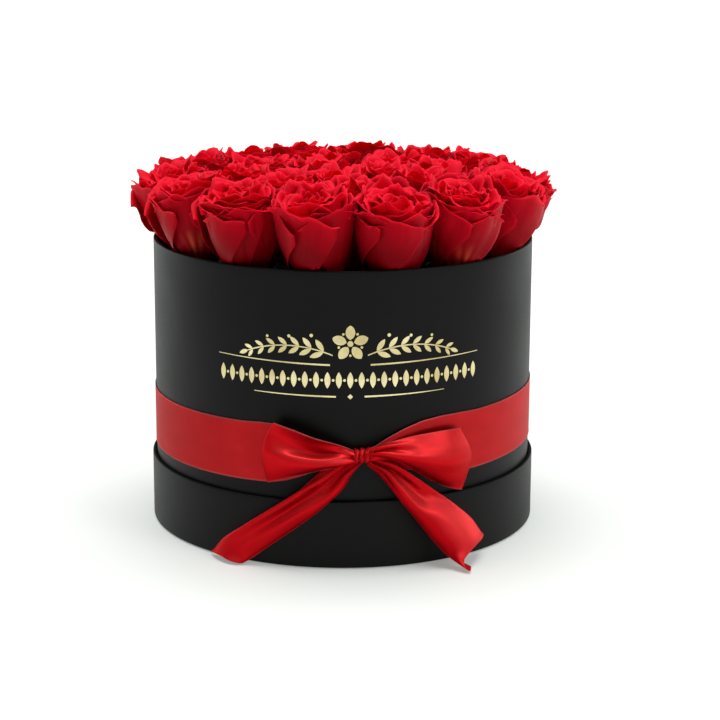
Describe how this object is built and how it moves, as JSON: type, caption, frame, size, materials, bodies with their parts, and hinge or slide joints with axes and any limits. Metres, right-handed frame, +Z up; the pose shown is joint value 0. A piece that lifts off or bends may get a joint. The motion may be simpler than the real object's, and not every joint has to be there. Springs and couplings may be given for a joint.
{
  "type": "flower box",
  "caption": "Round covered board hat box standing in its upturned lid, filled with preserved rose heads in dry foam and tied round with a satin ribbon bow.",
  "frame": {"origin": "centre of the underside of the tray lid, on the surface that the box stands on", "axes": "+Z up along the box's axis; -Y is the front, where the foil print and the bow are; +X is to the right seen from the front"},
  "size_m": [0.2778, 0.2738, 0.2352],
  "materials": {
    "covering_paper": "matte",
    "lining_paper": "matte",
    "greyboard": "matte",
    "gold_foil": "satin",
    "satin_ribbon": "satin",
    "dry_foam": "matte",
    "stem": "satin",
    "calyx": "matte",
    "rose_petal": "satin"
  },
  "bodies": {
    "lid": {"lid_band": "greyboard", "lid_wrap": "covering_paper", "lid_lining": "lining_paper", "lid_panel": "greyboard", "lid_panel_paper": "covering_paper", "lid_inner_paper": "lining_paper"},
    "box": {"body_tube": "greyboard", "body_wrap": "covering_paper", "body_lining": "lining_paper", "body_floor": "greyboard", "body_floor_paper": "covering_paper", "foil_motif": "gold_foil", "ribbon_band": "satin_ribbon", "bow_knot": "satin_ribbon", "bow_loop_left": "satin_ribbon", "bow_loop_right": "satin_ribbon", "bow_tail_left": "satin_ribbon", "bow_tail_right": "satin_ribbon"},
    "arrangement": {"foam_lower": "dry_foam", "foam_upper": "dry_foam", "rose_stems": "stem", "calyxes": "calyx", "rose_outer_01": "rose_petal", "rose_outer_02": "rose_petal", "rose_outer_03": "rose_petal", "rose_outer_04": "rose_petal", "rose_outer_05": "rose_petal", "rose_outer_06": "rose_petal", "rose_outer_07": "rose_petal", "rose_outer_08": "rose_petal", "rose_outer_09": "rose_petal", "rose_outer_10": "rose_petal", "rose_outer_11": "rose_petal", "rose_outer_12": "rose_petal", "rose_outer_13": "rose_petal", "rose_outer_14": "rose_petal", "rose_middle_01": "rose_petal", "rose_middle_02": "rose_petal", "rose_middle_03": "rose_petal", "rose_middle_04": "rose_petal", "rose_middle_05": "rose_petal", "rose_middle_06": "rose_petal", "rose_middle_07": "rose_petal", "rose_middle_08": "rose_petal", "rose_centre_01": "rose_petal", "rose_centre_02": "rose_petal", "rose_centre_03": "rose_petal"}
  },
  "joints": [
    {"name": "box_lift", "type": "slide", "parent": "lid", "child": "box", "axis": [0, 0, 1], "range_m": [0, 0.06]},
    {"name": "arrangement_lift", "type": "slide", "parent": "box", "child": "arrangement", "axis": [0, 0, 1], "range_m": [0, 0.2]}
  ]
}
